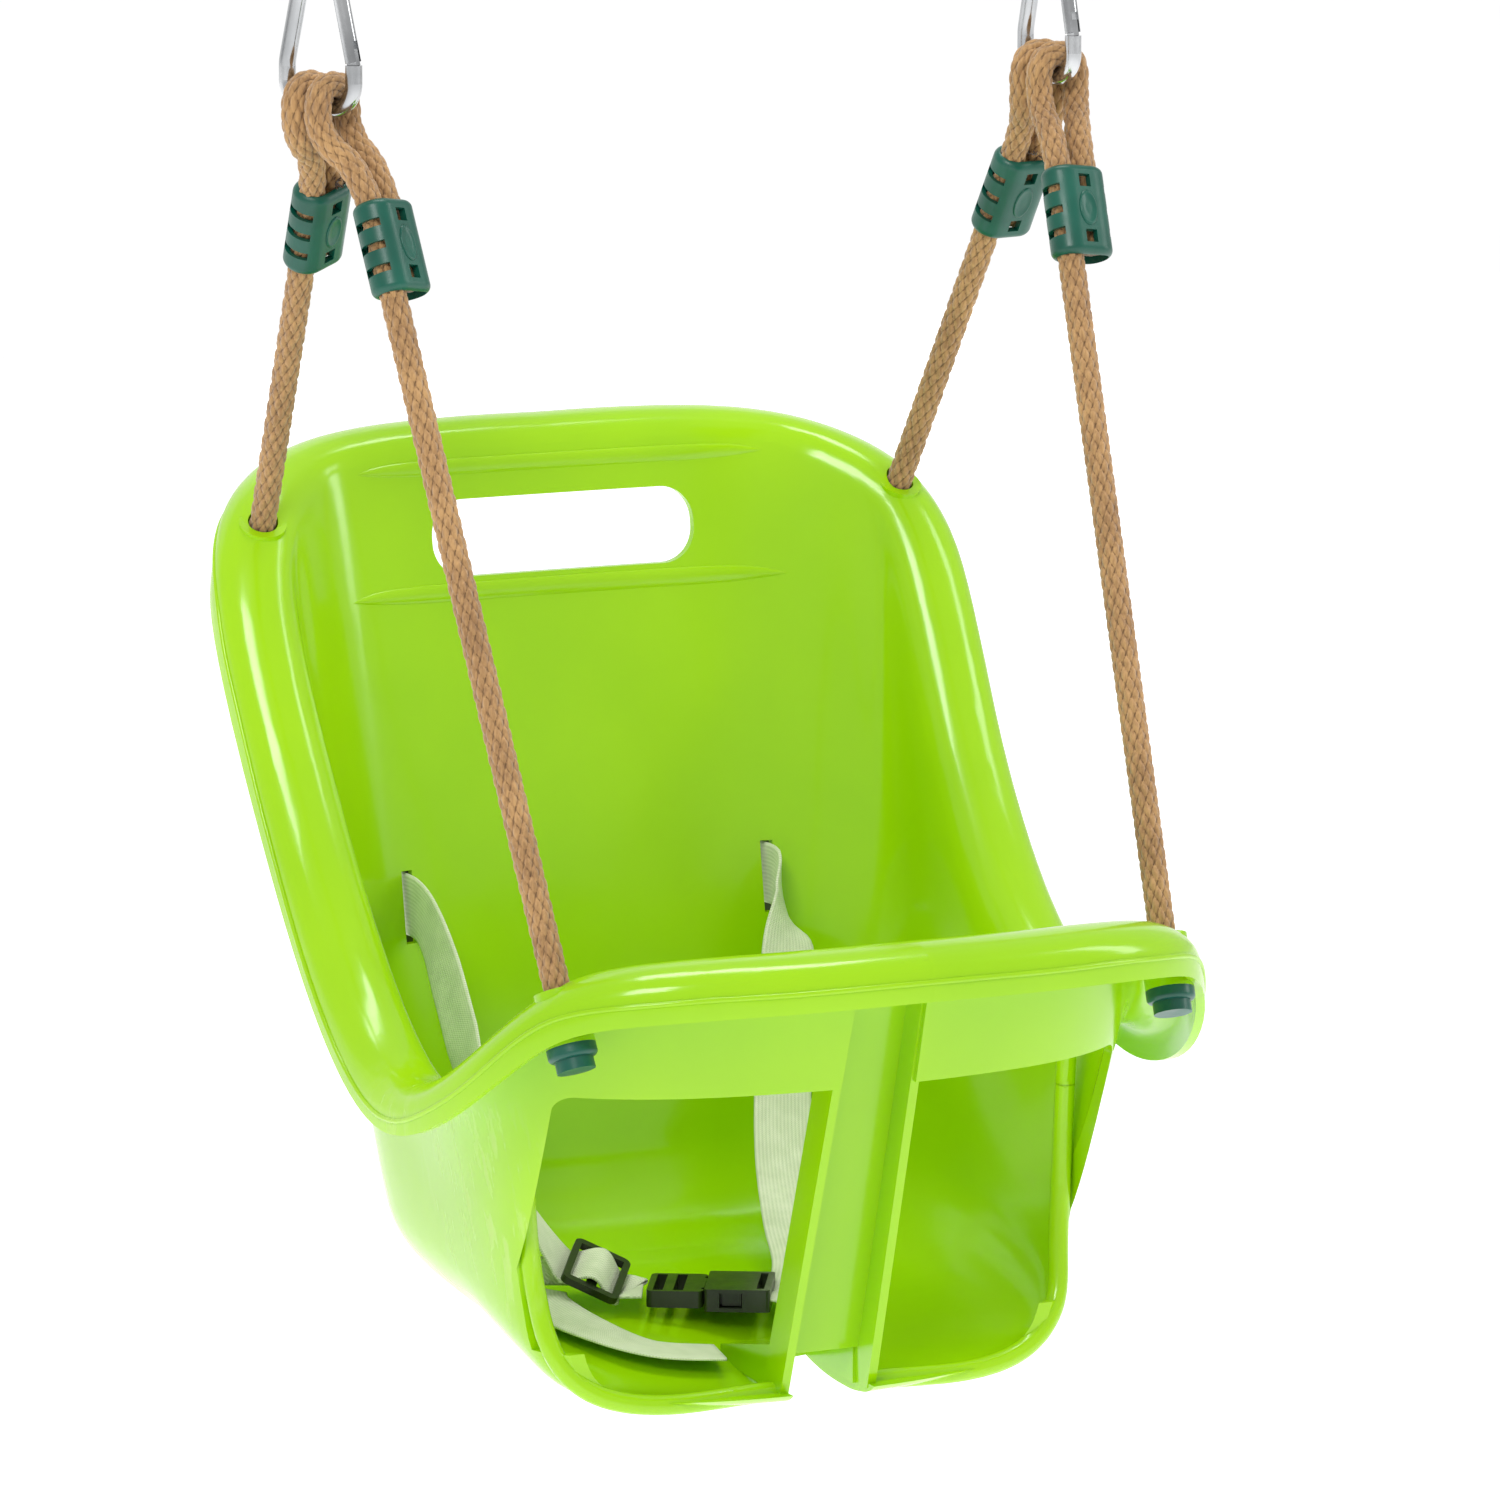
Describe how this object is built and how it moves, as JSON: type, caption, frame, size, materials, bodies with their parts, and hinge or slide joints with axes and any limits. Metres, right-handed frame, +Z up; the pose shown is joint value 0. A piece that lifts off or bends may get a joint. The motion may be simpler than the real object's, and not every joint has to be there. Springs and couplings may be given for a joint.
{
  "type": "toddler bucket swing",
  "caption": "Moulded bucket seat for a toddler, with leg openings, crotch post and rolled rim, hung by clamped braided ropes from snap hooks, with a buckled lap belt.",
  "frame": {"origin": "midway between the two snap hooks, at the inner top of their bows, where the swing hangs", "axes": "+X to the child's left seen from the front, -Y the front, +Z up"},
  "size_m": [0.3428, 0.3811, 0.5682],
  "materials": {
    "seat_plastic": "glossy moulded lime-green polyethylene",
    "rope": "tan braided synthetic hemp rope",
    "clamp_plastic": "satin dark green moulded plastic",
    "hook_steel": "bright zinc-plated steel",
    "pin_steel": "plain steel pin",
    "webbing": "off-white woven webbing",
    "buckle_plastic": "satin near-black moulded plastic"
  },
  "bodies": {
    "hooks": {"hook_left": "hook_steel", "hook_right": "hook_steel", "gate_pin_left": "pin_steel", "gate_pin_right": "pin_steel"},
    "seat": {"belt_anchor_left": "buckle_plastic", "belt_anchor_right": "buckle_plastic", "belt_strap_left": "webbing", "belt_strap_right": "webbing", "belt_tail": "webbing", "buckle_socket": "buckle_plastic", "clamp_front_left_back_half": "clamp_plastic", "clamp_front_left_front_half": "clamp_plastic", "clamp_front_right_back_half": "clamp_plastic", "clamp_front_right_front_half": "clamp_plastic", "clamp_rear_left_back_half": "clamp_plastic", "clamp_rear_left_front_half": "clamp_plastic", "clamp_rear_right_back_half": "clamp_plastic", "clamp_rear_right_front_half": "clamp_plastic", "rope_front_left": "rope", "rope_front_right": "rope", "rope_rear_left": "rope", "rope_rear_right": "rope", "rope_stop_front_left": "clamp_plastic", "rope_stop_front_right": "clamp_plastic", "rope_stop_rear_left": "clamp_plastic", "rope_stop_rear_right": "clamp_plastic", "seat_shell": "seat_plastic"},
    "gate_left": {"hook_gate_left": "hook_steel"},
    "gate_right": {"hook_gate_right": "hook_steel"},
    "plug": {"buckle_plug": "buckle_plastic", "belt_slider": "buckle_plastic"},
    "tab_front": {"buckle_tab_front": "buckle_plastic"},
    "tab_back": {"buckle_tab_back": "buckle_plastic"}
  },
  "joints": [
    {"name": "seat_swing", "type": "hinge", "parent": "hooks", "child": "seat", "pos_m": [0, 0, -0.065], "axis": [1, 0, 0], "range_deg": [-25, 25], "deforming": ["rope_front_left", "rope_front_right", "rope_rear_left", "rope_rear_right"]},
    {"name": "gate_left_open", "type": "hinge", "parent": "hooks", "child": "gate_left", "pos_m": [-0.15199, -0.00695, -0.01318], "axis": [0.866, 0.5, 0], "range_deg": [0, 20], "stiffness_Nm_per_rad": 0.3, "springref_deg": -14.32},
    {"name": "gate_right_open", "type": "hinge", "parent": "hooks", "child": "gate_right", "pos_m": [0.15726, -0.00793, -0.01318], "axis": [0.9877, 0.1564, 0], "range_deg": [0, 20], "stiffness_Nm_per_rad": 0.3, "springref_deg": -14.32},
    {"name": "buckle_release", "type": "slide", "parent": "seat", "child": "plug", "axis": [-0.8729, 0.4879, 0], "range_m": [0, 0.018], "deforming": ["belt_strap_left", "belt_tail"]},
    {"name": "tab_front_press", "type": "hinge", "parent": "plug", "child": "tab_front", "pos_m": [-0.01456, -0.04222, -0.5362], "axis": [0, 0, 1], "range_deg": [0, 4], "stiffness_Nm_per_rad": 0.8},
    {"name": "tab_back_press", "type": "hinge", "parent": "plug", "child": "tab_back", "pos_m": [-0.00528, -0.02563, -0.5362], "axis": [0, 0, -1], "range_deg": [0, 4], "stiffness_Nm_per_rad": 0.8}
  ]
}
